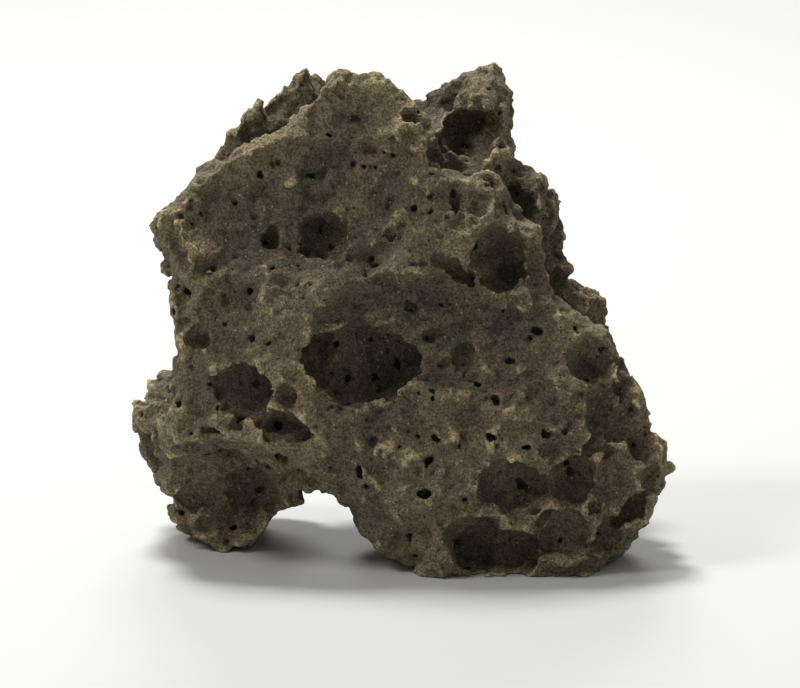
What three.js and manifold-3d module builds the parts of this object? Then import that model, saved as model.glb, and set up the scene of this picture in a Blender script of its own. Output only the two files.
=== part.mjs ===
// A lava rock: one hand-sized chip of vesicular scoria, in millimetres, +Z up.
//
// The stone is laid out in a leaning frame and stood on its feet at the end. In the leaning frame
// u runs right across the broad broken face, v runs up that face, and w runs into the stone behind it.
// Lobes are merged into the rough mass, and gas bubbles of several sizes are cut out of it, because
// every hollow and ridge on scoria is what is left between bubbles that burst as the lava set.
import * as THREE from "three";
import { mergeVertices } from "three/addons/utils/BufferGeometryUtils.js";
import { ImprovedNoise } from "three/addons/math/ImprovedNoise.js";
import Module from "manifold-3d";

// Driving dimensions.
const LEAN = THREE.MathUtils.degToRad(12); // how far the broad face leans back from upright
const FAR = 80; // further than any point of the stone is from its middle
const COARSE_LUMP = { size: 5.5, height: 0.5 }; // the width and height of swells in the lobes' surface
const FINE_LUMP = { size: 2.1, height: 0.22 }; // the same for the smaller ones
const BUBBLE_LUMP = { size: 0.9, height: 0.13 }; // the same in a bubble, as shares of its radius
const SCAR_BULGE = 0.72; // how far a broad scar's centre lies outside the stone, as a share of its radius

// ---- the rough mass -------------------------------------------------------------------------------

// Each lobe is a rounded block around its centre. outline is its broadest section, seen square to the
// face, as [u, v] points; front and back are how far it bulges either side of that section; power is 2
// for an ellipsoid and more for a boxier block; detail sets how finely it is faceted.
const LOBES = {
  face: {
    centre: { u: 1, v: 20, w: 4.5 },
    outline: [
      [-6, 42.4], [-4.6, 43.4], [-1.4, 42.9], [0.9, 40.8], [2.6, 38], [3.4, 35.4], [7.4, 33.6],
      [9.8, 31.2], [11.2, 29.4], [11.7, 26.6], [12.4, 24.2], [14.6, 22], [17, 21], [18.2, 18.9],
      [19.8, 16.2], [20.8, 13.8], [21.6, 11.4], [22.8, 9.6], [21.4, 7.4], [20.4, 5], [18.6, 2.4],
      [15.6, 0.4], [12, -0.4], [7, -0.6], [3.2, -0.5], [0.6, 1.6], [-3, 3.6], [-6, 5.6],
      [-12, 7.5], [-17, 9], [-20.9, 11.2], [-20.4, 13.6], [-19.4, 16], [-19.3, 19.5], [-20.1, 22.4],
      [-19.4, 25.6], [-19.5, 28.2], [-21, 30.3], [-18.6, 32.4], [-16, 34.6], [-12.6, 36.8],
      [-9.8, 38.2], [-7.8, 40.4],
    ],
    front: 5.4,
    back: 17,
    power: 2.7,
    detail: 8,
  },
  leg: {
    centre: { u: -14.5, v: 10.5, w: 14 },
    outline: [
      [-23.4, 12.8], [-22.8, 16.2], [-20.6, 17.6], [-16, 18.6], [-9, 19], [-6, 14], [-6, 9],
      [-7.2, 6.4], [-9.6, 5.2], [-12.6, 3], [-15.2, 1.2], [-17.8, 2.8], [-19.5, 5], [-20.4, 8],
      [-21.9, 10.4],
    ],
    front: 8,
    back: 7.6,
    power: 2.7,
    detail: 5,
  },
  right_wing: {
    centre: { u: 10.4, v: 22, w: 17.5 },
    outline: [
      [17.8, 22.6], [17.6, 24.4], [16.8, 26.4], [16, 28.2], [15, 30.2], [13, 31.6], [7, 31],
      [2, 26], [2, 18], [6, 12], [13, 12], [17.4, 16], [17.6, 19.6],
    ],
    front: 5.5,
    back: 7.5,
    power: 2.4,
    detail: 4,
  },
  rear_peak: {
    centre: { u: 3.6, v: 32, w: 13 },
    outline: [
      [13.4, 31.2], [12.4, 33.8], [11, 35.8], [9.8, 37.8], [9.2, 40.4], [8.6, 42.4], [7.6, 43.8],
      [6.6, 43.8], [5.2, 42.2], [3.4, 41.4], [0.8, 41.2], [-3.6, 40.2], [-8, 36], [-9, 29],
      [-3, 22], [6, 21], [11.6, 25.6], [12.2, 28.6],
    ],
    front: 8,
    back: 8.5,
    power: 2.6,
    detail: 5,
  },
  rear_rim: {
    centre: { u: -9.4, v: 33, w: 11 },
    outline: [
      [-14.8, 37.4], [-13, 39.6], [-11.4, 41], [-9.8, 41.6], [-8.9, 43.2], [-7.4, 44.2], [-6.2, 43.2],
      [-4.6, 41], [-3, 36], [-4, 28], [-9, 24], [-15, 26], [-16.8, 31.6],
    ],
    front: 6,
    back: 7,
    power: 2.4,
    detail: 4,
  },
  base: {
    centre: { u: 9, v: 6, w: 9 },
    outline: [
      [18.6, 3.6], [17, 0.6], [15, -0.8], [9, -2.5], [3.4, -1.6], [0.4, 1], [-0.6, 4], [0.6, 9],
      [9, 13], [17, 10], [19.6, 6.6],
    ],
    front: 8.6,
    back: 13,
    power: 3,
    detail: 4,
  },
};

// ---- bubbles cut into the broad face --------------------------------------------------------------

// A dish is a shallow scar: where it is, its half width and half height at the surface, its depth, and
// how far it is turned in the face, in degrees.
const BROAD_SCARS = [
  { u: -8.2, v: 31, width: 10.6, height: 5.9, depth: 1.8, turn: 6 }, // the upper basin
  { u: -4.9, v: 39, width: 4.2, height: 2.4, depth: 0.8, turn: 0 }, // the facet under the crest
  { u: 3.4, v: 20.9, width: 10.8, height: 4.7, depth: 1.8, turn: -4 }, // the middle trough
  { u: -14.2, v: 22.3, width: 3.3, height: 3.7, depth: 1.1, turn: 0 }, // the left panel
  { u: 1.2, v: 33, width: 3.6, height: 3.2, depth: 0.7, turn: 0 },
  { u: 3, v: 11.4, width: 8, height: 3.4, depth: 0.6, turn: 4 }, // the lower face
  { u: -17.5, v: 16.3, width: 1.7, height: 3.6, depth: 0.5, turn: 4 }, // the left column
];

// A bubble: its middle on the surface, its radii across, up and into the stone, how far its centre lies
// under the surface as a share of the last radius, which way it leans as it goes in (right, up), and
// how far it is turned in the face, in degrees.
const BUBBLES = [
  // The largest pocket, in the left end of the middle trough, and the deeper hollow in its left.
  { u: -2.8, v: 18.4, size: [4.7, 3.6, 2.9], sink: -0.1, leans: [-0.5, -0.1], turn: 0 },
  { u: -5.8, v: 18.5, size: [2, 2.7, 3.2], sink: 0.15, leans: [-0.5, 0], turn: 0 },
  // The upper basin.
  { u: -6.6, v: 29.1, size: [1.9, 1.95, 2.8], sink: 0.25, leans: [0, -0.35], turn: 0 },
  { u: -6.3, v: 31.2, size: [1.6, 1.6, 1.3], sink: -0.4, leans: [0, 0], turn: 0 },
  { u: -11, v: 28.7, size: [0.72, 1.05, 2.2], sink: 0.5, leans: [0, -0.1], turn: 8 },
  { u: -3, v: 26.9, size: [1.8, 1.15, 1.2], sink: -0.3, leans: [0, 0], turn: 8 },
  // The right of the upper face.
  { u: 8.4, v: 27, size: [3.2, 2.8, 2.5], sink: -0.05, leans: [-0.6, 0.1], turn: -25 },
  { u: 4.6, v: 26.1, size: [2.4, 0.7, 1.7], sink: 0.1, leans: [0, 0.25], turn: -25 },
  { u: 5.7, v: 31.8, size: [1.7, 1.3, 1.2], sink: -0.1, leans: [-0.4, 0], turn: 0 },
  { u: 10.4, v: 32.2, size: [2.5, 1.6, 1.9], sink: 0, leans: [-0.3, 0.2], turn: -20 },
  { u: 10.3, v: 35.3, size: [1.5, 1, 1.2], sink: 0, leans: [0, 0], turn: -30 },
  // The left edge.
  { u: -16.1, v: 26.5, size: [1.3, 0.85, 1.1], sink: 0, leans: [0, 0], turn: 10 },
  { u: -18.7, v: 27.3, size: [1.1, 1.9, 1.2], sink: 0, leans: [0, 0], turn: 12 },
  { u: -16.7, v: 20.6, size: [1.1, 0.9, 1.3], sink: 0.1, leans: [0, 0], turn: -38 },
  { u: -18.6, v: 21.6, size: [0.7, 0.8, 0.8], sink: 0, leans: [0, 0], turn: 0 },
  { u: -18.7, v: 24, size: [0.6, 1.2, 0.7], sink: 0, leans: [0, 0], turn: 0 },
  // The cells over the shelf at the lower left.
  { u: -12.9, v: 16.1, size: [2.5, 2.2, 2.8], sink: 0.1, leans: [-0.2, -0.25], turn: 0 },
  { u: -9.6, v: 15.6, size: [0.95, 0.9, 1.1], sink: 0.1, leans: [0, 0], turn: 0 },
  { u: -10, v: 12.9, size: [2.2, 1.15, 2.4], sink: 0.3, leans: [0, 0.1], turn: -15 },
  { u: -13.8, v: 12.9, size: [0.85, 0.55, 1.1], sink: 0.2, leans: [0, 0], turn: -5 },
  // The honeycomb at the lower right, from the face to the edge and from the bottom up.
  { u: 9.3, v: 7.7, size: [3.3, 2.5, 2.4], sink: -0.1, leans: [-0.2, 0.3], turn: -16 },
  { u: 14.2, v: 8.6, size: [2.1, 2.1, 2.3], sink: 0, leans: [-0.2, 0], turn: 12 },
  { u: 13.4, v: 4.1, size: [2.2, 2.3, 2.2], sink: 0, leans: [0, 0.3], turn: 0 },
  { u: 17.7, v: 8, size: [2.2, 2.2, 1.5], sink: -0.35, leans: [0, 0], turn: 20 },
  { u: 17.4, v: 3.6, size: [1.1, 1.8, 2.2], sink: 0.1, leans: [0, 0], turn: 0 },
  { u: 18.9, v: 5.9, size: [1.8, 1.2, 2.4], sink: 0.2, leans: [0, 0], turn: 35 },
  { u: 20.6, v: 8.8, size: [1.5, 1.5, 1.3], sink: -0.3, leans: [0, 0], turn: 0 },
  { u: 15.7, v: 11.5, size: [1.2, 1.1, 1.2], sink: -0.1, leans: [0, 0], turn: 0 },
  { u: 16.4, v: 14.4, size: [1.6, 2.7, 1.6], sink: -0.2, leans: [-0.2, 0], turn: -12 },
  { u: 18.6, v: 12.7, size: [1.8, 1.3, 1.7], sink: 0, leans: [0, 0], turn: 20 },
  { u: 20.4, v: 12, size: [1.4, 2.1, 1.7], sink: 0, leans: [0, 0], turn: 0 },
  { u: 15.7, v: 18.3, size: [2.2, 2.1, 1.9], sink: -0.1, leans: [-0.4, 0], turn: 12 },
  { u: 18.5, v: 16.1, size: [0.9, 1.5, 1.3], sink: 0, leans: [0, 0], turn: 0 },
];

// ---- hollows that open at the top, below and behind ----------------------------------------------

// Each hollow is one large bubble, placed by its centre: u, v, w, its radii along u, v and w, and how
// far it is turned about the w axis, in degrees.
const HOLLOWS = [
  { u: -9.6, v: 40.4, w: 7, size: [6, 4.2, 3.9], turn: 38 }, // behind the crest
  { u: 1.6, v: 42.2, w: 7.4, size: [4.6, 5, 6], turn: 0 }, // between the crest and the rear peak
  { u: 5.4, v: 37.6, w: 5.4, size: [2.7, 2.3, 5.4], turn: 20 }, // the throat under the rear peak
  { u: 4.4, v: 35.6, w: 2.4, size: [3, 2, 4.4], turn: -20 }, // the step in front of that throat
  { u: -16, v: 3, w: -0.5, size: [13, 8.9, 11], turn: 0 }, // under the shelf, in front of the leg
  { u: 7.6, v: 2, w: 0, size: [3.2, 3.3, 4.6], turn: 0 }, // the recess beside the front foot
  { u: 14.8, v: 25.8, w: 9, size: [3.8, 5, 4.4], turn: 24 }, // in front of the right wing
];

// The arch between the leg and the base goes right through the stone along the ground: a low wide part
// and a high narrow one, each with its middle, half width, half height and turn in degrees.
const ARCH_REACH = 34; // how far the arch is hollowed out either side of its middle
const ARCH_DETAIL = 2; // how finely it is faceted
const ARCHES = [
  { x: -8, z: -0.6, width: 5, height: 4.8, turn: -14 },
  { x: -6.5, z: 1.6, width: 2.7, height: 5.2, turn: 0 },
];

// ---- bubbles on the sides, the back and underneath ----------------------------------------------------

// A ring of scars is spread evenly round the stone at one height, on the side away from the face. turn
// is the direction it looks out in, from 0 at the right round the back to 180 at the left.
const SCAR_RINGS = [
  { height: 6.5, from: 16, to: 118, count: 3, radius: 5.4 },
  { height: 13.5, from: 0, to: 166, count: 4, radius: 5 },
  { height: 21, from: 20, to: 178, count: 5, radius: 6 },
  { height: 29, from: 24, to: 168, count: 4, radius: 5.4 },
  { height: 35.5, from: 40, to: 150, count: 3, radius: 4.6 },
];
const UNDERSIDE_SCARS = [
  { x: 6.4, y: 6, radius: 3.6 },
  { x: 13, y: 9.5, radius: 3.3 },
  { x: 7.6, y: 13.6, radius: 3.7 },
  { x: 14.4, y: 15.6, radius: 2.8 },
];
const SCAR_DETAIL = 2; // how finely these scars are faceted
const SCAR_SINK = 0.5; // how far a side scar's centre lies outside the surface, as a share of its radius
const SCAR_SHAPE = [1.15, 1, 0.95]; // its radii round the stone, up it and into it, as shares of its radius
const SCAR_STRAY = { rise: 2.6, turn: 40, size: 0.5 }; // how much height, turn and size differ at most
const RING_DEPTH = 9; // how far behind the origin the middle of the rings is
const UNDERSIDE_SINK = 0.25; // how far an underside scar's centre lies under the ground, as a share

// Where the noise is read for a scar: steps along a ring and from ring to ring, and where it starts.
const PLACE_NOISE = { along: 1.7, between: 2.3, start: [0.5, 0.5, 0.5] };
const SIZE_NOISE = { along: 2.9, between: 1.3, start: [0.3, 0.2, 4.5] };

// ---- geometry helpers --------------------------------------------------------------------------------

const wasm = await Module();
wasm.setup();
const noise = new ImprovedNoise();
const radians = THREE.MathUtils.degToRad;

// The leaning frame as three.js axes: u is x, w is y, v is z.
const at = ({ u, v, w }) => new THREE.Vector3(u, w, v);

function lump(p, { size, height }, shift = 0) {
  return height * noise.noise(p.x / size + shift, p.y / size + 0.37, p.z / size - 0.61);
}

function toSolid(geometry) {
  const bare = geometry.clone();
  bare.deleteAttribute("normal");
  bare.deleteAttribute("uv");
  const merged = mergeVertices(bare, 1e-4);
  return new wasm.Manifold(
    new wasm.Mesh({
      numProp: 3,
      vertProperties: merged.attributes.position.array,
      triVerts: new Uint32Array(merged.index.array),
    }),
  );
}

function toGeometry(solid) {
  const mesh = solid.getMesh();
  return new THREE.BufferGeometry()
    .setAttribute("position", new THREE.BufferAttribute(mesh.vertProperties, 3))
    .setIndex(new THREE.BufferAttribute(mesh.triVerts, 1));
}

// Moves every vertex of a geometry to where shape() puts it.
function reshape(geometry, shape) {
  const place = geometry.attributes.position;
  const p = new THREE.Vector3();
  for (let i = 0; i < place.count; i++) {
    shape(p.fromBufferAttribute(place, i));
    place.setXYZ(i, p.x, p.y, p.z);
  }
  return geometry;
}

// How far an outline reaches from a centre in the direction (du, dv).
function reach(outline, centre, du, dv) {
  let found = 0;
  outline.forEach(([u0, v0], i) => {
    const [u1, v1] = outline[(i + 1) % outline.length];
    const [au, av, eu, ev] = [u0 - centre.u, v0 - centre.v, u1 - u0, v1 - v0];
    const cross = du * ev - dv * eu;
    if (Math.abs(cross) < 1e-9) return;
    const along = (au * ev - av * eu) / cross;
    const share = (au * dv - av * du) / cross;
    if (share >= -1e-9 && share <= 1 + 1e-9 && along > found) found = along;
  });
  return found;
}

function lobe({ centre, outline, front, back, power, detail }) {
  const middle = at(centre);
  const geometry = reshape(new THREE.IcosahedronGeometry(1, detail), (p) => {
    const flat = Math.hypot(p.x, p.z);
    const across = flat > 1e-6 ? reach(outline, centre, p.x / flat, p.z / flat) : 1;
    const through = p.y < 0 ? front : back;
    const length = (flat / across) ** power + (Math.abs(p.y) / through) ** power;
    p.multiplyScalar(length ** (-1 / power));
    const away = p.clone().normalize();
    p.add(middle);
    p.addScaledVector(away, lump(p, COARSE_LUMP) + lump(p, FINE_LUMP));
  });
  return toSolid(geometry);
}

// How finely a bubble is faceted: enough for its size.
const facets = ([across, up]) => (Math.max(across, up) > 4 ? 3 : Math.max(across, up) > 1.95 ? 2 : 1);

// An ellipsoid that is a little out of true. Its last radius lies along the direction inward.
function bubble(centre, size, inward, turn, detail = facets(size)) {
  const [across, up, deep] = size;
  const lie = new THREE.Quaternion().setFromUnitVectors(new THREE.Vector3(0, 1, 0), inward);
  const spin = new THREE.Quaternion().setFromAxisAngle(inward, -radians(turn));
  const geometry = reshape(new THREE.IcosahedronGeometry(1, detail), (p) => {
    p.multiplyScalar(1 + lump(p, BUBBLE_LUMP, centre.x + centre.z));
    p.set(p.x * across, p.y * deep, p.z * up);
    p.applyQuaternion(lie).applyQuaternion(spin).add(centre);
  });
  return toSolid(geometry);
}

// ---- carving -----------------------------------------------------------------------------------------

let stone = null;

function merge(solids) {
  stone = solids.reduce((whole, next) => (whole ? whole.add(next) : next), stone);
}

function carve(cutters) {
  stone = cutters.reduce((whole, cutter) => whole.subtract(cutter), stone);
}

// A function that gives the first point of the stone, as it is now, on a line from outside.
function surfaceFinder() {
  const target = new THREE.Mesh(toGeometry(stone));
  const ray = new THREE.Raycaster();
  return (from, direction) => {
    ray.set(from, direction);
    const [hit] = ray.intersectObject(target);
    return hit ? hit.point : null;
  };
}

// The point of the face at (u, v).
function faceFinder() {
  const find = surfaceFinder();
  return (u, v) => find(new THREE.Vector3(u, -FAR, v), new THREE.Vector3(0, 1, 0));
}

function broadScars() {
  const find = faceFinder();
  const spread = Math.sqrt(1 - SCAR_BULGE ** 2);
  return BROAD_SCARS.map(({ u, v, width, height, depth, turn }) => {
    const radius = depth / (1 - SCAR_BULGE);
    const centre = find(u, v);
    centre.y -= radius * SCAR_BULGE;
    const size = [width / spread, height / spread, radius];
    return bubble(centre, size, new THREE.Vector3(0, 1, 0), turn);
  });
}

function faceBubbles() {
  const find = faceFinder();
  return BUBBLES.map(({ u, v, size, sink, leans, turn }) => {
    const inward = new THREE.Vector3(leans[0], 1, leans[1]).normalize();
    const centre = find(u, v).addScaledVector(inward, sink * size[2]);
    return bubble(centre, size, inward, turn);
  });
}

function hollows() {
  return HOLLOWS.map(({ u, v, w, size, turn }) =>
    bubble(at({ u, v, w }), size, new THREE.Vector3(0, 1, 0), turn),
  );
}

// A value from -1 to 1 for the scar at place i of a ring, the same each time.
function stray({ along, between, start }, i, ring) {
  return noise.noise(i * along + start[0], ring * between + start[1], start[2]);
}

function sideScars() {
  const find = surfaceFinder();
  const cutters = [];
  SCAR_RINGS.forEach(({ height, from, to, count, radius }, ring) => {
    for (let i = 0; i < count; i++) {
      const way = radians(THREE.MathUtils.lerp(from, to, i / (count - 1)));
      const outward = new THREE.Vector3(Math.cos(way), Math.sin(way), 0);
      const inward = outward.clone().negate();
      const wobble = stray(PLACE_NOISE, i, ring);
      const middle = new THREE.Vector3(0, RING_DEPTH, height + SCAR_STRAY.rise * wobble);
      const centre = find(middle.addScaledVector(outward, FAR), inward);
      if (!centre) continue;
      const scale = radius * (1 + SCAR_STRAY.size * stray(SIZE_NOISE, i, ring));
      centre.addScaledVector(outward, SCAR_SINK * scale);
      const size = SCAR_SHAPE.map((share) => share * scale);
      cutters.push(bubble(centre, size, inward, SCAR_STRAY.turn * wobble, SCAR_DETAIL));
    }
  });
  return cutters;
}

// The scars under the stone, in the standing frame.
function undersideScars() {
  const up = new THREE.Vector3(0, 0, 1);
  return UNDERSIDE_SCARS.map(({ x, y, radius }) => {
    const centre = new THREE.Vector3(x, y, -UNDERSIDE_SINK * radius);
    return bubble(centre, [radius, radius, radius], up, 0, SCAR_DETAIL);
  });
}

// The two parts of the arch, in the standing frame.
function arches() {
  return ARCHES.map(({ x, z, width, height, turn }) => {
    const centre = new THREE.Vector3(x, ARCH_REACH / 3, z);
    return bubble(centre, [width, height, ARCH_REACH], new THREE.Vector3(0, 1, 0), turn, ARCH_DETAIL);
  });
}

// Turns the leaning frame upright: what was square to the face then leans back by LEAN.
function stand() {
  stone = toSolid(toGeometry(stone).rotateX(-LEAN));
}

// Wears the feet flat and puts the origin on the ground under the middle of the stone.
function settle() {
  const ground = new THREE.BoxGeometry(2 * FAR, 2 * FAR, FAR).translate(0, 0, -FAR / 2);
  stone = stone.subtract(toSolid(ground));
  const geometry = toGeometry(stone);
  geometry.computeBoundingBox();
  const middle = geometry.boundingBox.getCenter(new THREE.Vector3());
  return geometry.translate(-middle.x, -middle.y, -geometry.boundingBox.min.z);
}

merge(Object.values(LOBES).map(lobe));
carve(sideScars());
carve(broadScars());
carve(hollows());
carve(faceBubbles());
stand();
carve([...arches(), ...undersideScars()]);

const material = new THREE.MeshStandardMaterial({ color: 0x4a433a, roughness: 0.95, metalness: 0 });
const rock = new THREE.Mesh(settle(), material);
rock.name = "lava_rock";

const root = new THREE.Group();
root.add(rock);
export default root;
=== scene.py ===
"""A lava rock: the looks of one vesicular stone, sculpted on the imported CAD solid.

The CAD solid becomes a field of signed distances on a grid, in millimetres. The field is bent, roughened
and hollowed out by many bubbles, as the lava was, and its zero level becomes the stone's mesh.
"""
import math

import bpy
import numpy as np
import openvdb
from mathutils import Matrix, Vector

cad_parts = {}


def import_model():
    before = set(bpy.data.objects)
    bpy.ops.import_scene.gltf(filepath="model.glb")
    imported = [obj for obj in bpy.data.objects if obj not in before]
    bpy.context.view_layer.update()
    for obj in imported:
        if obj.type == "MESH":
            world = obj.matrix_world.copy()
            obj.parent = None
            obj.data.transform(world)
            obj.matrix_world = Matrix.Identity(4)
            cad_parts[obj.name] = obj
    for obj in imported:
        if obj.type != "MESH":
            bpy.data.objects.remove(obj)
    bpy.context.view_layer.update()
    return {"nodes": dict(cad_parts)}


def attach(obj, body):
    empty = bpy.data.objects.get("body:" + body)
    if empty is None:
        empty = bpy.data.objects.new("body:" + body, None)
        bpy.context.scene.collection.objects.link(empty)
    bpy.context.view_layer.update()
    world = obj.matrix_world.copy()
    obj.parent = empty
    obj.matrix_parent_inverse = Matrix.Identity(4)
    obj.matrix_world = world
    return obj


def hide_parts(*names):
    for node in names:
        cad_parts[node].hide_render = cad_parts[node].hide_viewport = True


MM = 0.001

# The stone leans back: on its broad face, u runs right, v runs up the face and w goes into the stone.
LEAN = math.radians(12)
FACE_ORIGIN = np.array([0.052, -15.164, 0.0])  # where u, v and w are 0 in the row frame, in mm
FACE_AXES = np.array([
    [1, 0, 0],
    [0, math.sin(LEAN), math.cos(LEAN)],
    [0, math.cos(LEAN), -math.sin(LEAN)],
])

# The grid.
VOXEL = 0.15
BAND = 2.4  # how far from the surface distances are known
MARGIN = 1.6  # how far the grid reaches past the CAD box
FILL_BEYOND = 1.5  # how far round added matter the distances are set
BLUR_REACH = 1.22  # how many radii a running mean reaches to each side, so that two blur by the radius
SEED = 7


# ---- the grid of distances ---------------------------------------------------------------------------


class Field:
    """A block of signed distances in mm, negative inside the stone."""

    def __init__(self, node):
        mesh = node.data
        points = np.empty(len(mesh.vertices) * 3, np.float32)
        mesh.vertices.foreach_get("co", points)
        points = points.reshape(-1, 3) / MM
        mesh.calc_loop_triangles()
        triangles = np.empty(len(mesh.loop_triangles) * 3, np.int32)
        mesh.loop_triangles.foreach_get("vertices", triangles)
        triangles = triangles.reshape(-1, 3).astype(np.uint32)
        level_set = openvdb.FloatGrid.createLevelSetFromPolygons(
            points,
            triangles=triangles,
            transform=openvdb.createLinearTransform(voxelSize=VOXEL),
            halfWidth=BAND / VOXEL,
        )
        self.first = np.floor((points.min(0) - MARGIN) / VOXEL).astype(int)
        last = np.ceil((points.max(0) + MARGIN) / VOXEL).astype(int)
        self.shape = tuple(last - self.first + 1)
        self.low = self.first * VOXEL
        self.data = np.empty(self.shape, np.float32)
        level_set.copyToArray(self.data, ijk=tuple(int(i) for i in self.first))

    def axis(self, i):
        """The grid's coordinates along axis i, in mm."""
        return self.low[i] + VOXEL * np.arange(self.shape[i])

    def sample(self, points, data=None):
        """Values at points (n, 3) in mm, interpolated between the grid's."""
        data = self.data if data is None else data
        place = (points - self.low) / VOXEL
        place = np.clip(place, 0, np.array(self.shape) - 1.001)
        whole = place.astype(np.int32)
        part = (place - whole).astype(np.float32)
        strides = (self.shape[1] * self.shape[2], self.shape[2], 1)
        start = whole[:, 0] * strides[0] + whole[:, 1] * strides[1] + whole[:, 2]
        flat = data.ravel()
        value = np.zeros(len(points), np.float32)
        for corner in range(8):
            bits = [(corner >> i) & 1 for i in range(3)]
            share = np.ones(len(points), np.float32)
            step = 0
            for i, bit in enumerate(bits):
                share *= part[:, i] if bit else 1 - part[:, i]
                step += strides[i] * bit
            value += share * flat[start + step]
        return value

    def surface(self):
        """The zero level as (points in mm, quads)."""
        grid = openvdb.FloatGrid(BAND)
        grid.transform = openvdb.createLinearTransform(voxelSize=VOXEL)
        grid.copyFromArray(self.data, ijk=tuple(int(i) for i in self.first))
        points, quads = grid.convertToQuads(isovalue=0.0)
        return points, quads.astype(np.int32)


def largest_part(points, quads):
    """Leaves out every surface but the largest: no loose crumbs and no sealed bubbles."""
    here = quads.ravel()
    there = np.roll(quads, -1, axis=1).ravel()
    ends = np.concatenate([here, there])
    order = np.argsort(ends, kind="stable")
    neighbours = np.concatenate([there, here])[order]
    starts = np.searchsorted(ends[order], np.arange(len(points)))
    label = np.arange(len(points))
    while True:
        lowest = np.minimum(label, np.minimum.reduceat(label[neighbours], starts))
        lowest = lowest[lowest]
        if np.array_equal(lowest, label):
            break
        label = lowest
    names, counts = np.unique(label, return_counts=True)
    keep = label == names[counts.argmax()]
    new_index = np.cumsum(keep) - 1
    return points[keep], new_index[quads[keep[quads[:, 0]]]]


def running_mean(data, axis, half):
    """The mean of each value and of half its neighbours on either side along one axis."""
    ends = [(0, 0)] * 3
    ends[axis] = (half + 1, half)
    total = np.cumsum(np.pad(data, ends, mode="edge"), axis=axis, dtype=np.float64)
    count = 2 * half + 1
    size = data.shape[axis]
    high = np.take(total, np.arange(count, count + size), axis=axis)
    low = np.take(total, np.arange(size), axis=axis)
    return ((high - low) / count).astype(np.float32)


def blur(data, radius):
    """Nearly a Gaussian blur of a grid, radius in mm: two running means along each axis."""
    half = max(1, round(radius / VOXEL * BLUR_REACH))
    for axis in range(3):
        for _ in range(2):
            data = running_mean(data, axis, half)
    return data


def smooth_noise(field, size, seed):
    """Smooth random values over the grid, mean 0 and spread 1, with swells about size mm across."""
    rng = np.random.default_rng(seed)
    places = [np.arange(n) * VOXEL * 2 / size for n in field.shape]
    value = rng.standard_normal([int(place[-1]) + 4 for place in places]).astype(np.float32)
    for axis, place in enumerate(places):
        knot = place.astype(int)
        t = place - knot
        shares = ((1 - t) ** 3, 3 * t**3 - 6 * t**2 + 4, -3 * t**3 + 3 * t**2 + 3 * t + 1, t**3)
        along = [1, 1, 1]
        along[axis] = -1
        value = sum(
            np.take(value, knot + i, axis=axis) * (share / 6).astype(np.float32).reshape(along)
            for i, share in enumerate(shares)
        )
    return value / value.std()


# ---- places on the stone -----------------------------------------------------------------------------

SIGHT = (-4, 30)  # between which w the stone is looked for behind a place of the face
NORMAL_TILT = 0.25  # how unevenly random hollows go in


def to_face(points):
    """Row frame to (u, v, w)."""
    return (points - FACE_ORIGIN) @ FACE_AXES.T


def from_face(points):
    """(u, v, w) to row frame."""
    return np.asarray(points) @ FACE_AXES + FACE_ORIGIN


def face_points(field, places):
    """The first points of the stone behind the face places (u, v), looking straight in."""
    into = np.arange(*SIGHT, VOXEL * 0.7)
    found = []
    for u, v in places:
        line = from_face(np.column_stack([np.full(len(into), u), np.full(len(into), v), into]))
        inside = field.sample(line) < 0
        found.append(line[inside.argmax()] if inside.any() else None)
    return found


def surface_samples(field, rng, count):
    """Random points of the stone's surface, spread evenly, with their normals."""
    points, quads = field.surface()
    chosen = quads[rng.choice(len(quads), count)]
    corners = points[chosen]
    normals = np.cross(corners[:, 2] - corners[:, 0], corners[:, 3] - corners[:, 1])
    normals /= np.maximum(np.linalg.norm(normals, axis=1, keepdims=True), 1e-9)
    return corners.mean(1), normals


# ---- carving -----------------------------------------------------------------------------------------


def ellipsoid_distance(field, centre, axes, radii, beyond=0.0):
    """The grid's block round an ellipsoid and about its distance there, or two Nones off the grid."""
    reach = np.sqrt(((np.asarray(radii)[:, None] * axes) ** 2).sum(0)) + beyond
    low = np.maximum(np.floor((centre - reach - field.low) / VOXEL).astype(int), 0)
    high = np.minimum(np.ceil((centre + reach - field.low) / VOXEL).astype(int) + 1, field.shape)
    if (high <= low).any():
        return None, None
    block = tuple(slice(a, b) for a, b in zip(low, high))
    spans = [field.low[i] + VOXEL * np.arange(low[i], high[i]) - centre[i] for i in range(3)]
    x, y, z = np.meshgrid(*spans, indexing="ij", sparse=True)
    share = 0.0
    slope = 0.0
    for axis, radius in zip(axes, radii):
        along = (x * axis[0] + y * axis[1] + z * axis[2]) / radius
        share = share + along**2
        slope = slope + (along / radius) ** 2
    share = np.sqrt(share)
    slope = np.sqrt(slope)
    return block, share * (share - 1) / np.maximum(slope, 1e-6)


def carve(field, centre, axes, radii):
    """Hollows out an ellipsoid, whose axes are the rows of axes."""
    block, distance = ellipsoid_distance(field, centre, axes, radii)
    if block:
        field.data[block] = np.maximum(field.data[block], -distance)


def fill(field, centre, axes, radii):
    """Adds an ellipsoid to the stone."""
    block, distance = ellipsoid_distance(field, centre, axes, radii, FILL_BEYOND)
    field.data[block] = np.minimum(field.data[block], distance)


def random_axes(rng, normals):
    """For each normal, three axes: two across it, turned at random, and the normal tilted a little."""
    deep = normals + NORMAL_TILT * rng.standard_normal(normals.shape)
    deep /= np.linalg.norm(deep, axis=1, keepdims=True)
    across = np.cross(deep, rng.standard_normal(normals.shape))
    across /= np.linalg.norm(across, axis=1, keepdims=True)
    return np.stack([across, np.cross(deep, across), deep], axis=1)


# ---- the stone ---------------------------------------------------------------------------------------

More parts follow.
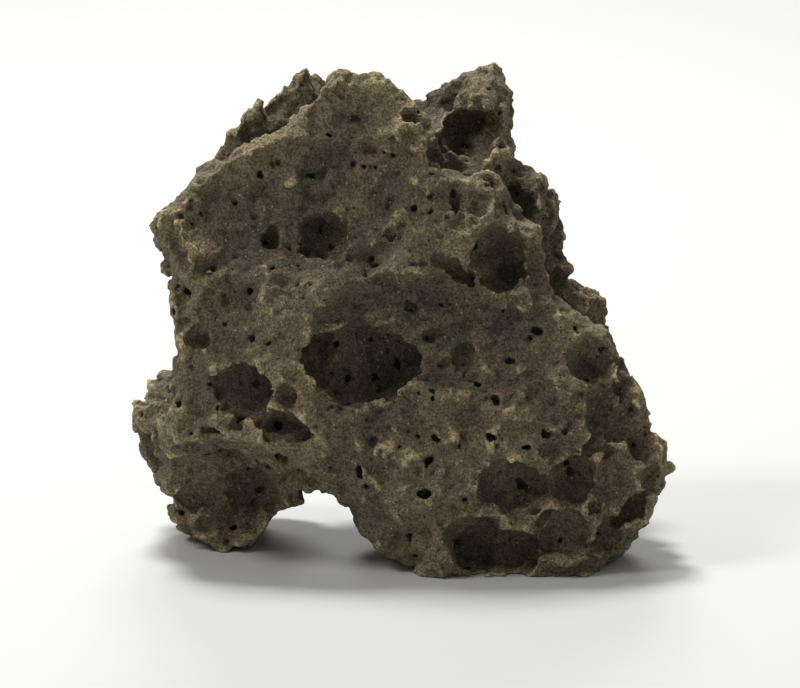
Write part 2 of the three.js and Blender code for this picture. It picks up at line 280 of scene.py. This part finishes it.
# Cells on the broad face: u, v, half width and half height of the mouth, depth, how far each is turned in
# the face in degrees, and how far it leans right and up as it goes in.
FACE_CELLS = [
    # the largest pocket and the middle trough
    (3.4, 20.9, 10.2, 4.4, 1.5, -4, 0.0, 0.0),
    (3.0, 11.4, 7.5, 3.2, 0.6, 4, 0.0, 0.0),
    (-2.6, 18.3, 4.7, 3.4, 3.1, 0, -0.4, 0.15),
    (-6.2, 18.6, 1.5, 2.5, 2.6, 0, -0.5, 0.0),
    (0.9, 18.7, 1.2, 1.0, 1.3, 0, -0.3, 0.0),
    (5.2, 18.8, 1.3, 1.1, 0.8, 0, 0.0, 0.0),
    (2.7, 20.6, 0.75, 0.55, 0.9, 0, 0.0, 0.0),
    (0.8, 23.0, 0.65, 0.5, 1.0, 0, 0.0, 0.0),
    (-0.6, 14.9, 2.6, 1.5, 0.5, 20, 0.0, 0.0),
    (1.2, 12.2, 2.4, 1.5, 0.4, 0, 0.0, 0.0),
    # the upper basin and the left panel
    (-7.6, 31.4, 10.0, 5.5, 2.0, 6, 0.0, 0.0),
    (-14.2, 22.3, 3.1, 3.5, 1.0, 0, 0.0, 0.0),
    (-6.5, 29.0, 2.1, 2.1, 2.2, 0, 0.0, -0.3),
    (-11.0, 28.7, 0.75, 1.05, 1.6, 8, 0.0, -0.1),
    (-2.75, 27.2, 1.9, 1.2, 0.8, 10, 0.0, 0.0),
    (-0.95, 28.8, 0.62, 0.55, 1.0, 0, 0.0, 0.0),
    (-9.4, 27.9, 0.5, 0.45, 0.8, 0, 0.0, 0.0),
    (-13.6, 26.0, 2.2, 1.2, 0.4, -30, 0.0, 0.0),
    # right of the basin
    (8.5, 27.0, 3.0, 2.6, 2.3, -25, -0.6, 0.1),
    (4.6, 26.0, 2.6, 0.6, 1.2, -25, 0.0, 0.2),
    (5.6, 31.6, 1.5, 1.2, 0.8, 0, -0.4, 0.0),
    (4.45, 31.7, 0.55, 1.0, 0.9, 0, 0.0, 0.0),
    (9.6, 32.4, 2.3, 1.4, 1.5, -20, -0.3, 0.2),
    (10.4, 35.3, 1.4, 0.9, 1.0, -30, 0.0, 0.0),
    (5.8, 38.0, 2.4, 2.0, 2.0, 20, 0.0, 0.0),
    (0.85, 38.7, 0.9, 0.75, 1.2, 0, 0.0, 0.0),
    (6.6, 40.4, 0.5, 0.45, 1.0, 0, 0.0, 0.0),
    (5.35, 35.2, 0.45, 0.4, 0.8, 0, 0.0, 0.0),
    (7.4, 33.1, 0.55, 0.5, 1.1, 0, 0.0, 0.0),
    (-11.3, 37.5, 0.6, 0.4, 0.8, 20, 0.0, 0.0),
    (-5.0, 39.1, 3.4, 2.2, 0.8, 6, 0.0, 0.0),
    # the left edge
    (-18.7, 27.8, 1.0, 1.8, 0.9, 12, 0.0, 0.0),
    (-16.2, 26.5, 1.15, 0.85, 0.9, 10, 0.0, 0.0),
    (-18.6, 24.0, 0.6, 1.2, 0.6, 0, 0.0, 0.0),
    (-18.5, 21.6, 0.7, 0.8, 0.6, 0, 0.0, 0.0),
    (-16.7, 20.5, 1.0, 0.9, 1.1, -38, 0.0, 0.0),
    (-19.2, 30.2, 0.7, 0.6, 0.5, 0, 0.0, 0.0),
    # over the shelf
    (-12.9, 16.2, 2.6, 2.2, 2.0, 0, -0.2, -0.2),
    (-9.7, 15.7, 0.95, 0.9, 1.1, 0, 0.0, 0.0),
    (-9.9, 12.7, 2.4, 1.2, 2.1, -14, 0.0, 0.1),
    (-13.8, 12.9, 0.8, 0.5, 1.0, -5, 0.0, 0.0),
    (-15.6, 12.6, 1.0, 0.3, 0.8, 0, 0.0, 0.0),
    (-10.0, 10.3, 0.4, 0.9, 1.2, 0, 0.0, 0.0),
]

# Cells of the honeycomb at the lower right corner, given in the same way.
HONEYCOMB_CELLS = [
    (9.3, 8.0, 3.0, 2.1, 2.1, -14, -0.3, 0.4),
    (14.2, 8.6, 1.95, 1.9, 2.0, 12, -0.2, 0.2),
    (13.4, 4.1, 2.2, 2.1, 1.9, 0, 0.0, 0.5),
    (17.7, 8.1, 1.75, 1.9, 0.7, 20, 0.0, 0.0),
    (17.3, 3.7, 1.3, 1.9, 1.5, 0, 0.0, 0.0),
    (16.3, 3.2, 0.4, 0.8, 1.8, 0, 0.0, 0.0),
    (18.9, 5.8, 1.9, 0.8, 1.9, 42, 0.0, 0.0),
    (20.9, 8.7, 1.3, 1.5, 0.9, 0, 0.0, 0.0),
    (19.9, 11.4, 1.5, 1.5, 1.1, 0, 0.0, 0.0),
    (18.5, 13.2, 2.0, 1.0, 1.3, 48, 0.0, 0.0),
    (16.4, 14.4, 1.6, 2.6, 1.2, -12, -0.2, 0.0),
    (18.5, 16.6, 1.0, 1.4, 1.0, 0, 0.0, 0.0),
    (15.4, 18.2, 2.2, 2.1, 1.3, 12, -0.4, -0.3),
    (17.9, 18.3, 0.8, 0.9, 0.8, 0, 0.0, 0.0),
    (15.5, 11.5, 1.0, 0.9, 0.9, 0, 0.0, 0.0),
    (17.0, 11.0, 0.8, 0.7, 0.8, 0, 0.0, 0.0),
    (12.2, 11.0, 0.9, 0.6, 0.5, 0, 0.0, 0.0),
    (11.6, 5.3, 0.8, 0.7, 0.8, 0, 0.0, 0.0),
    (16.0, 6.2, 0.7, 0.6, 0.8, 0, 0.0, 0.0),
    (11.3, 2.2, 0.7, 0.9, 0.8, 0, 0.0, 0.0),
    (15.4, 1.6, 0.9, 0.7, 0.8, 0, 0.0, 0.0),
]

# Pores on the broad face: u, v, half width, half height, and turn in degrees.
FACE_PORES = [
    # the upper basin
    (-10.6, 26.2, 0.3, 0.3, 0),
    (-8.7, 26.4, 0.28, 0.25, 0),
    (-14.0, 31.7, 0.38, 0.22, 20),
    (-11.9, 34.0, 0.22, 0.3, 0),
    (-7.7, 34.0, 0.25, 0.25, 0),
    (-5.7, 33.1, 0.25, 0.25, 0),
    (-3.3, 34.6, 0.25, 0.22, 0),
    (-2.2, 34.6, 0.2, 0.2, 0),
    (-1.5, 35.7, 0.32, 0.25, 0),
    (-0.8, 35.5, 0.25, 0.25, 0),
    (-6.1, 37.3, 0.36, 0.25, 0),
    (-12.7, 24.2, 0.35, 0.35, 0),
    (-2.2, 26.6, 0.3, 0.25, 0),
    # right of the basin
    (0.95, 31.2, 0.25, 0.4, 0),
    (2.35, 31.9, 0.35, 0.35, 0),
    (2.4, 33.9, 0.24, 0.24, 0),
    (3.7, 30.4, 0.24, 0.24, 0),
    # the pocket and the trough
    (-4.6, 16.9, 0.4, 0.35, 0),
    (-2.2, 17.0, 0.4, 0.4, 0),
    (-5.6, 19.8, 0.35, 0.35, 0),
    (-2.6, 20.2, 0.3, 0.3, 0),
    (-0.4, 18.0, 0.4, 0.35, 0),
    (-1.2, 20.6, 0.3, 0.25, 0),
    # the lower face
    (2.2, 10.1, 0.5, 0.35, 0),
    (1.8, 7.4, 0.75, 0.45, 0),
    (10.3, 11.3, 0.55, 0.35, 0),
    (7.3, 12.1, 0.4, 0.4, 0),
    (5.2, 6.9, 0.3, 0.3, 0),
    (2.8, 12.0, 0.38, 0.3, 0),
    (1.3, 12.3, 0.25, 0.25, 0),
    (6.3, 16.5, 0.5, 0.3, -20),
    (8.9, 18.4, 0.45, 0.3, 0),
    (-3.5, 9.2, 0.35, 0.75, 10),
    (-18.0, 24.3, 0.4, 0.4, 0),
    (-15.3, 14.6, 0.3, 0.3, 0),
]

# Hollows that open at an edge: the middle's u, v and w, and the radii along u, v and w.
EDGE_HOLLOWS = [
    (6.5, 2.9, 0.0, 2.4, 2.3, 5.0),  # the recess beside the front foot
    (9.4, 2.4, 0.4, 2.2, 1.9, 3.6),
    (11.8, 26.6, 1.2, 2.6, 2.2, 2.4),  # where the hollow right of the basin opens sideways
    (-3.0, 46.3, 5.0, 7.0, 4.0, 12.0),  # the flat top of the crest
    (-6.0, 43.4, 2.5, 0.8, 0.9, 3.0),  # the gaps between its knobs
    (-2.7, 43.1, 2.5, 0.6, 0.8, 3.0),
    (-0.7, 42.7, 2.5, 0.7, 1.0, 3.0),
]

# Rounded matter at the foot of the stone: the middle's u, v and w, and the radii along u, v and w.
FOOT_LUMPS = [
    (3.0, 0.8, 3.0, 1.6, 1.8, 1.9),  # the front foot
    (8.0, 0.0, 5.4, 5.0, 4.3, 4.0),  # the back of the recess
    (13.5, -0.5, 5.0, 4.0, 2.4, 3.7),  # the foot under the honeycomb
    (13.0, 1.9, 2.6, 3.6, 0.6, 1.8),  # the honeycomb's lowest wall
]

FACET_BLUR = 0.12  # evens out the CAD's facets
SPARE = 0.1  # matter added all over, and where the stone is torn, which the random hollows take away
SPARE_TORN = 0.12
# The first roughness: the size of its swells, their height on the face, how much more the torn parts
# have, and the noise's seed.
ROUGHNESS = [(3.6, 0.04, 0.1, 31), (1.7, 0.02, 0.05, 32)]
# How the stone is bent: the size of the swells and how far they shift its matter. Before any bubbles,
# after the large ones, after the honeycomb and after the pores.
FIRST_BENDS = [(4.5, 0.2), (1.8, 0.06)]
BUBBLE_BENDS = [(2.6, 0.15)]
COMB_BENDS = [(1.4, 0.1)]
PORE_BENDS = [(0.8, 0.07)]
SLIVER = 0.25  # matter thinner than about this is lost
SLIVER_LEFT = 0.13
LEAST_WALL = 0.7  # how thick the stone stays behind a random hollow
LEAST_INSIDE = -0.3  # the field's value behind that wall, at most
LARGE = 1.5  # random cells above this radius stay off the front and the feet
TORN_SHARE = 0.32  # how many of the tried cells are made on the torn parts
COMB_SHARE = 0.4  # and in the honeycomb, where they are small
SIDES = (3.5, 7.0)  # the w between which the broad face gives way to the sides and the back
PORE_WIDTH = 0.85  # how wide a pore of the face is made, against its given size
PORE_DEPTH = 1.7  # how deep it goes, in half widths


def step_between(value, start, end):
    """0 before start, 1 past end, and smoothly rising between them."""
    share = np.clip((value - start) / (end - start), 0, 1)
    return share * share * (3 - 2 * share)


def honeycomb(u, v):
    """1 at the crest, the left edge and the lower right corner of the face, where bubbles lie close."""
    corner = step_between(u, 10.0, 13.0) * (1 - step_between(v, 18.0, 21.0))
    edge = np.maximum(step_between(-u, 17.0, 19.0), step_between(v, 37.5, 39.5))
    return np.maximum(corner, edge)


def tornness(u, v, w):
    """How torn by bubbles the stone is: 0 on the broad face, half in the honeycomb, 1 further in."""
    return np.maximum(step_between(w, *SIDES), 0.5 * honeycomb(u, v))


def torn_share(field):
    """tornness over the grid."""
    lie = [[-1 if j == i else 1 for j in range(3)] for i in range(3)]
    x, y, z = ((field.axis(i) - FACE_ORIGIN[i]).astype(np.float32).reshape(lie[i]) for i in range(3))
    v = y * math.sin(LEAN) + z * math.cos(LEAN)
    w = y * math.cos(LEAN) - z * math.sin(LEAN)
    return tornness(x, v, w).astype(np.float32)


def bend(field, swells, band=BAND):
    """Shifts the matter near the surface by smooth random amounts, so that no rim stays an ellipse."""
    near = np.abs(field.data) < 0.95 * band
    points = np.argwhere(near) * VOXEL + field.low
    for number, (size, shift) in enumerate(swells):
        for i in range(3):
            noise = smooth_noise(field, size, SEED + 10 * number + i)
            points[:, i] += shift * noise[near]
    field.data[near] = field.sample(points, field.data.copy())


def crease(noise):
    """Turns smooth noise into rounded hollows between sharp ridges, about 0 on the whole."""
    return np.abs(noise) - 0.8


def rough_mass(node):
    """The CAD solid as a field, with broad swells, a first roughness and the lumps at its foot."""
    field = Field(node)
    torn = torn_share(field)
    field.data = blur(field.data, FACET_BLUR)
    bend(field, FIRST_BENDS)
    field.data -= SPARE + SPARE_TORN * torn
    for size, height, more, seed in ROUGHNESS:
        field.data += (height + more * torn) * smooth_noise(field, size, seed)
    for u, v, w, *radii in FOOT_LUMPS:
        fill(field, from_face([u, v, w]), FACE_AXES, radii)
    return field


def bubble(field, rng):
    """The stone's bubbles, from the largest to the smallest, and last the thin-walled honeycomb."""
    for u, v, w, *radii in EDGE_HOLLOWS:
        carve(field, from_face([u, v, w]), FACE_AXES, radii)
    dishes(field, rng, radius=2.1, depth=0.25, count=1200)
    cells(field, rng, radius=2.1, count=900, on_ridges=0.0)
    for cell in FACE_CELLS:
        face_cell(field, *cell)
    bend(field, BUBBLE_BENDS, band=1.2)
    dishes(field, rng, radius=1.3, depth=0.15, count=2000)
    cells(field, rng, radius=1.1, count=2400, on_ridges=0.3)
    dishes(field, rng, radius=0.75, depth=0.09, count=3000)
    cells(field, rng, radius=0.55, count=4200, on_ridges=0.6)
    creases = crease(smooth_noise(field, 1.3, 33))
    grit = smooth_noise(field, 0.6, 34)
    field.data += 0.05 * creases + 0.035 * grit
    nibble(field, rng)
    field.data = np.maximum(field.data, blur(field.data, SLIVER) - SLIVER_LEFT)
    for cell in HONEYCOMB_CELLS:
        face_cell(field, *cell)
    bend(field, COMB_BENDS, band=1.2)


def prick(field, rng):
    """The stone's pores, the finest of its roughness that is geometry, and its flat feet."""
    for u, v, width, height, turn in FACE_PORES:
        depth = PORE_DEPTH * max(width, height)
        face_cell(field, u, v, PORE_WIDTH * width, PORE_WIDTH * height, depth, turn)
    random_pores(field, rng)
    bend(field, PORE_BENDS, band=0.6)
    field.data += 0.03 * smooth_noise(field, 0.36, 35)
    ground = -field.axis(2).astype(np.float32)
    field.data = np.maximum(field.data, ground[None, None, :])


def sculpt(node):
    """The finished field, the mass before its bubbles, and the stone before its pores."""
    rng = np.random.default_rng(SEED)
    field = rough_mass(node)
    whole = field.data.copy()
    bubble(field, rng)
    solid = field.data.copy()
    prick(field, rng)
    return field, whole, solid


MOUTH_POINTS = 12  # where the surface round a cell's mouth is felt
MOUTH_REACH = 1.15  # how far out that is, in half widths
STEEPEST = 0.8  # how steep the surface round a mouth is taken to be at most


def face_plane(field, u, v, width, height, turn):
    """The depth w and the slopes along u and v of the surface round a mouth, or None."""
    c, s = math.cos(math.radians(turn)), math.sin(math.radians(turn))
    ways = np.arange(MOUTH_POINTS) * math.tau / MOUTH_POINTS
    across, up = MOUTH_REACH * width * np.cos(ways), MOUTH_REACH * height * np.sin(ways)
    places = np.column_stack([u + c * across - s * up, v + s * across + c * up])
    found = [point for point in face_points(field, places) if point is not None]
    if len(found) < MOUTH_POINTS / 2:
        return None
    mouth = to_face(np.array(found))
    level = np.median(mouth[:, 2])
    mouth = mouth[np.abs(mouth[:, 2] - level) < 0.8 * max(width, height) + 0.4]
    sides = np.column_stack([np.ones(len(mouth)), mouth[:, 0] - u, mouth[:, 1] - v])
    level, lean_u, lean_v = np.linalg.lstsq(sides, mouth[:, 2], rcond=None)[0]
    return level, *np.clip([lean_u, lean_v], -STEEPEST, STEEPEST)


def face_cell(field, u, v, width, height, depth, turn, right_lean=0.0, up_lean=0.0):
    """Hollows out a cell. Without a lean it looks square out of the surface round its mouth."""
    plane = face_plane(field, u, v, width, height, turn)
    if plane is None:
        return
    level, lean_u, lean_v = plane
    inward = np.array([right_lean - lean_u, up_lean - lean_v, 1.0])
    inward /= np.linalg.norm(inward)
    right = np.array([math.cos(math.radians(turn)), math.sin(math.radians(turn)), 0.0])
    right -= inward * right.dot(inward)
    right /= np.linalg.norm(right)
    axes = np.array([right, np.cross(inward, right), inward])
    # A deep cell's widest part lies behind its mouth, and a shallow one's in front of it.
    sink = 0.3 if depth > 0.8 * min(width, height) else -0.4
    grow = 1 / math.sqrt(1 - sink**2)
    deep = depth / (1 + sink)
    centre = from_face(np.array([u, v, level]) + inward * sink * deep)
    carve(field, centre, axes @ FACE_AXES, (width * grow, height * grow, deep))


def dishes(field, rng, radius, depth, count):
    """Shallow scars, side by side with sharp ridges between them, all over the stone."""
    points, normals = surface_samples(field, rng, count)
    axes = random_axes(rng, normals)
    radii = radius * rng.uniform(0.7, 1.15, count)
    depths = depth * rng.uniform(0.4, 1.3, count)
    centres = points + normals * (radii - depths)[:, None]
    clear = radii - field.sample(centres) < 1.4 * depths + 0.02
    for i in np.flatnonzero(clear):
        carve(field, centres[i], axes[i], radii[i] * np.array([rng.uniform(0.8, 1.4), 1.0, 1.0]))


def cells(field, rng, radius, count, on_ridges):
    """Random cells of about one size on the torn parts. on_ridges is how far they keep to the ridges."""
    points, normals = surface_samples(field, rng, count)
    u, v, w = to_face(points).T
    facing = step_between(-(normals @ FACE_AXES[2]), 0.1, 0.5)
    share = TORN_SHARE * step_between(w, *SIDES) * (1 - facing * (1.0 if radius > LARGE else 0.7))
    if radius > LARGE:
        share *= step_between(points[:, 2], 1.0, 4.0)  # the feet stay whole
    if radius < 1:
        share = np.maximum(share, COMB_SHARE * honeycomb(u, v))
    if on_ridges:
        sharp = field.sample(points, blur(field.data, radius)) / radius
        share *= 1 - on_ridges + on_ridges * step_between(sharp, 0.0, 0.25)
    sink = rng.uniform(-0.7, -0.1, len(points))
    radii = radius * np.exp(0.3 * np.clip(rng.standard_normal(len(points)), -2, 2))
    behind = points - normals * ((1 + sink) * radii + LEAST_WALL)[:, None]
    chosen = (rng.random(len(points)) < share) & (field.sample(behind) < LEAST_INSIDE)
    axes = random_axes(rng, normals)
    for i in np.flatnonzero(chosen):
        size = radii[i] * rng.uniform(0.75, 1.25, 3)
        carve(field, points[i] - normals[i] * sink[i] * radii[i], axes[i], size)


def nibble(field, rng, tries=14000, most=2600):
    """Small bites out of every sharp edge, which leave it jagged."""
    points, normals = surface_samples(field, rng, tries)
    sharp = field.sample(points, blur(field.data, 0.6)) > 0.2
    points, normals = points[sharp], normals[sharp]
    axes = random_axes(rng, normals)
    for point, normal, lie in zip(points[:most], normals, axes):
        r = rng.uniform(0.12, 0.4)
        carve(field, point + normal * r * rng.uniform(0.3, 0.8), lie, r * rng.uniform(0.7, 1.3, 3))


def random_pores(field, rng, tries=9000):
    """Round pores, narrow and deep, most of them too small to see into."""
    points, normals = surface_samples(field, rng, tries)
    radii = np.minimum(0.11 + rng.exponential(0.07, len(points)), 0.4)
    behind = points - normals * (2 * radii + LEAST_WALL)[:, None]
    share = 0.11 + 0.1 * tornness(*to_face(points).T)
    chosen = (rng.random(len(points)) < share) & (field.sample(behind) < LEAST_INSIDE)
    axes = random_axes(rng, normals)
    for i in np.flatnonzero(chosen):
        size = radii[i] * np.array([rng.uniform(0.8, 1.5), rng.uniform(0.7, 1.1), 1.7])
        carve(field, points[i] - normals[i] * 0.4 * radii[i], axes[i], size)


def quad_mesh(name, points, quads):
    """A smooth-shaded mesh of quads, from points in mm."""
    mesh = bpy.data.meshes.new(name)
    mesh.vertices.add(len(points))
    mesh.vertices.foreach_set("co", (points * MM).astype(np.float32).ravel())
    mesh.loops.add(quads.size)
    mesh.loops.foreach_set("vertex_index", quads.ravel().astype(np.int32))
    mesh.polygons.add(len(quads))
    mesh.polygons.foreach_set("loop_start", np.arange(0, quads.size, 4, dtype=np.int32))
    mesh.update(calc_edges=True)
    mesh.validate()
    mesh.shade_smooth()
    return mesh


def make_stone(node):
    """The stone's object. Its mesh carries what the material follows, in mm: how far each point stands
    out of its surroundings near and far, and how deep it lies in the bubbles and in the pores.
    """
    field, whole, solid = sculpt(node)
    points, quads = largest_part(*field.surface())
    mesh = quad_mesh("stone", points, quads)
    values = {
        "rim": field.sample(points, blur(field.data, 0.35)),
        "ridge": field.sample(points, blur(field.data, 0.9)),
        "swell": field.sample(points, blur(field.data, 2.6)),
        "depth": -field.sample(points, whole),
        "pore": -field.sample(points, solid),
    }
    for name, value in values.items():
        attribute = mesh.attributes.new(name, "FLOAT", "POINT")
        attribute.data.foreach_set("value", value.astype(np.float32))
    stone = bpy.data.objects.new("stone", mesh)
    bpy.context.collection.objects.link(stone)
    return stone


# ---- materials ---------------------------------------------------------------------------------------

STONE_LIFT = 2.4  # how much brighter the stone's matter is than it looks where its roughness shades it


def colour(r, g, b, lift=1.0):
    """A linear colour from one given as seen, 0 to 255, and lifted by what its own shade takes away."""
    return tuple(lift * (c / 255) ** 2.2 for c in (r, g, b)) + (1.0,)


def new_material(name):
    material = bpy.data.materials.new(name)
    material.use_nodes = True
    return material, material.node_tree.nodes["Principled BSDF"]


class Nodes:
    """Short names for the nodes that the stone's material is made of. Noise sizes are in mm."""

    def __init__(self, tree):
        self.tree = tree
        self.place = tree.nodes.new("ShaderNodeTexCoord").outputs["Object"]

    def make(self, kind, **settings):
        node = self.tree.nodes.new(kind)
        for name, value in settings.items():
            setattr(node, name, value)
        return node

    def feed(self, socket, value):
        if isinstance(value, bpy.types.NodeSocket):
            self.tree.links.new(value, socket)
        else:
            socket.default_value = value

    def attribute(self, name):
        return self.make("ShaderNodeAttribute", attribute_name=name).outputs["Fac"]

    def noise(self, size, detail=3.0, roughness=0.55, distortion=0.0):
        node = self.make("ShaderNodeTexNoise")
        self.feed(node.inputs["Vector"], self.place)
        node.inputs["Scale"].default_value = 1 / (size * MM)
        node.inputs["Detail"].default_value = detail
        node.inputs["Roughness"].default_value = roughness
        node.inputs["Distortion"].default_value = distortion
        return node.outputs["Fac"]

    def voronoi(self, size, feature="F1"):
        node = self.make("ShaderNodeTexVoronoi", feature=feature)
        self.feed(node.inputs["Vector"], self.place)
        node.inputs["Scale"].default_value = 1 / (size * MM)
        return node

    def math(self, operation, a, b=0.0, clamp=False):
        node = self.make("ShaderNodeMath", operation=operation, use_clamp=clamp)
        self.feed(node.inputs[0], a)
        self.feed(node.inputs[1], b)
        return node.outputs[0]

    def ramp(self, value, start, end, low=0.0, high=1.0):
        node = self.make("ShaderNodeMapRange", interpolation_type="SMOOTHSTEP")
        self.feed(node.inputs["Value"], value)
        for name, number in zip(("From Min", "From Max", "To Min", "To Max"), (start, end, low, high)):
            node.inputs[name].default_value = number
        return node.outputs["Result"]

    def mix(self, share, a, b, blend="MIX"):
        node = self.make("ShaderNodeMix", data_type="RGBA", blend_type=blend)
        self.feed(node.inputs["Factor"], share)
        self.feed(node.inputs["A"], a)
        self.feed(node.inputs["B"], b)
        return node.outputs["Result"]


def stone_colour(r, g, b):
    return colour(r, g, b, STONE_LIFT)


def stone_tint(n, grain, ragged):
    """The stone's colour before its flecks and the painted shade of its fine pits, with painted
    highlights on what stands out and painted shade in its hollows, bubbles and pores.
    """
    rim, ridge, swell, depth, pore = map(n.attribute, ("rim", "ridge", "swell", "depth", "pore"))
    patch = n.noise(6.0, 4.0)
    # Painted highlight along the ridges.
    ridge_highlight = n.math("ADD", ridge, n.math("MULTIPLY", ragged, 1.6))
    # Painted highlight on the thin rims.
    rim_highlight = n.math("ADD", rim, n.math("MULTIPLY", ragged, 0.5))
    base = n.mix(n.ramp(patch, 0.38, 0.66), stone_colour(63, 57, 48), stone_colour(77, 70, 56))
    # The tints over the ground colour: what each follows, where it starts, where it is full, how much of
    # it there is then, and its colour.
    tints = [
        (n.noise(3.4, 5.0, 0.6, 0.4), 0.54, 0.74, 0.5, (80, 63, 48)),  # rusty stains
        (n.noise(1.1, 4.0, 0.65), 0.48, 0.7, 0.45, (52, 48, 42)),  # mottling
        (swell, 0.2, 1.4, 0.5, (90, 82, 63)),  # painted highlight on what stands well out
        (ridge_highlight, 0.1, 1.0, 0.7, (98, 90, 67)),  # painted highlight on the ridges
        (rim_highlight, 0.15, 0.45, 0.65, (132, 122, 89)),  # painted highlight on the thin rims
        (depth, 0.8, 3.2, 0.25, (46, 42, 40)),  # painted shade deep in the bubbles
        (ridge, -0.1, -0.7, 0.4, (38, 35, 33)),  # painted shade in the hollows
        (pore, 0.06, 0.3, 0.85, (20, 18, 17)),  # painted shade in the pores
    ]
    for value, start, full, share, tint in tints:
        base = n.mix(n.ramp(value, start, full, 0.0, share), base, stone_colour(*tint))
    return n.mix(1.0, base, n.ramp(grain, 0.36, 0.64, 0.6, 1.55), "MULTIPLY")


def pale_flecks(n):
    """1 in small round crystals, scattered unevenly."""
    fleck = n.voronoi(0.3)
    chance = n.math("FRACT", n.math("MULTIPLY", fleck.outputs["Color"], 7.3))
    size = n.ramp(chance, 0.84, 1.0, 0.0, 0.32)
    return n.math("LESS_THAN", fleck.outputs["Distance"], size)


def fine_pits(n):
    """How deep a place lies in a pit too fine for the mesh, 0 to 0.3."""
    pit = n.voronoi(0.42)
    chance = n.math("FRACT", n.math("MULTIPLY", pit.outputs["Color"], 5.1))
    size = n.ramp(chance, 0.7, 1.0, 0.0, 0.3)
    return n.math("SUBTRACT", size, pit.outputs["Distance"], clamp=True)


def stone_material():
    material, shader = new_material("scoria")
    n = Nodes(material.node_tree)
    grain = n.noise(0.2, 3.0, 0.65)
    ragged = n.math("SUBTRACT", n.noise(0.35, 4.0, 0.7), 0.5)
    pitted = fine_pits(n)
    base = stone_tint(n, grain, ragged)
    base = n.mix(n.math("MULTIPLY", pale_flecks(n), 0.5), base, stone_colour(130, 120, 86))
    # Painted shade in the fine pits.
    base = n.mix(n.ramp(pitted, 0.0, 0.12, 0.0, 0.75), base, stone_colour(24, 21, 20))
    n.feed(shader.inputs["Base Color"], base)
    n.feed(shader.inputs["Roughness"], n.ramp(grain, 0.3, 0.7, 0.82, 1.0))
    shader.inputs["Specular IOR Level"].default_value = 0.3

    height = n.math("MULTIPLY", ragged, 0.3)
    height = n.math("ADD", height, n.math("MULTIPLY", grain, 0.16))
    height = n.math("SUBTRACT", height, n.math("MULTIPLY", pitted, 0.5))
    bump = n.make("ShaderNodeBump")
    bump.inputs["Strength"].default_value = 1.0
    bump.inputs["Distance"].default_value = MM
    n.feed(bump.inputs["Height"], height)
    n.feed(shader.inputs["Normal"], bump.outputs["Normal"])
    return material


# ---- the stage ---------------------------------------------------------------------------------------

VIEW_MIDDLE = [-0.166, 19.84, 0.0]  # the u, v and w in the middle of the view, in mm
CAMERA_DISTANCE = 0.38
CAMERA_VIEW = 0.0664  # how wide the view is at the broad face
SENSOR = 36
STONE_MIDDLE = (0, 0, 0.02)  # where the lights on the stone point


def aim(thing, place, target):
    thing.location = place
    thing.rotation_euler = (Vector(target) - Vector(place)).to_track_quat("-Z", "Y").to_euler()


def make_camera():
    data = bpy.data.cameras.new("camera")
    camera = bpy.data.objects.new("camera", data)
    bpy.context.collection.objects.link(camera)
    middle = from_face(VIEW_MIDDLE) * MM
    back = Vector(-FACE_AXES[2])
    aim(camera, Vector(middle) + back * CAMERA_DISTANCE, Vector(middle))
    data.sensor_width = SENSOR
    data.lens = SENSOR * CAMERA_DISTANCE / CAMERA_VIEW
    bpy.context.scene.camera = camera


def make_light(name, place, target, size, power):
    data = bpy.data.lights.new(name, "AREA")
    data.shape = "DISK"
    data.size = size
    data.energy = power
    light = bpy.data.objects.new(name, data)
    bpy.context.collection.objects.link(light)
    aim(light, place, target)


def make_stage():
    bpy.ops.mesh.primitive_plane_add(size=3, location=(0, 0.6, 0))
    floor = bpy.context.object
    floor.name = "floor"
    material, shader = new_material("paper")
    shader.inputs["Base Color"].default_value = colour(197, 197, 193)
    shader.inputs["Roughness"].default_value = 0.7
    floor.data.materials.append(material)
    world = bpy.data.worlds.new("world")
    bpy.context.scene.world = world
    world.use_nodes = True
    world.node_tree.nodes["Background"].inputs["Strength"].default_value = 0.27
    world.node_tree.nodes["Background"].inputs["Color"].default_value = (1, 1, 1, 1)
    make_light("above", (-0.1, 0.17, 0.5), STONE_MIDDLE, 0.14, 2.8)
    make_light("key", (-0.34, -0.12, 0.42), STONE_MIDDLE, 0.16, 1.1)
    make_light("behind", (0.0, 1.0, 0.5), (0, 0.7, 0.0), 0.5, 5.0)
    bpy.context.scene.view_settings.view_transform = "Standard"


def main():
    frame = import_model()
    stone = make_stone(frame["nodes"]["lava_rock"])
    stone.data.materials.append(stone_material())
    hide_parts("lava_rock")
    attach(stone, "root")
    make_stage()
    make_camera()


main()
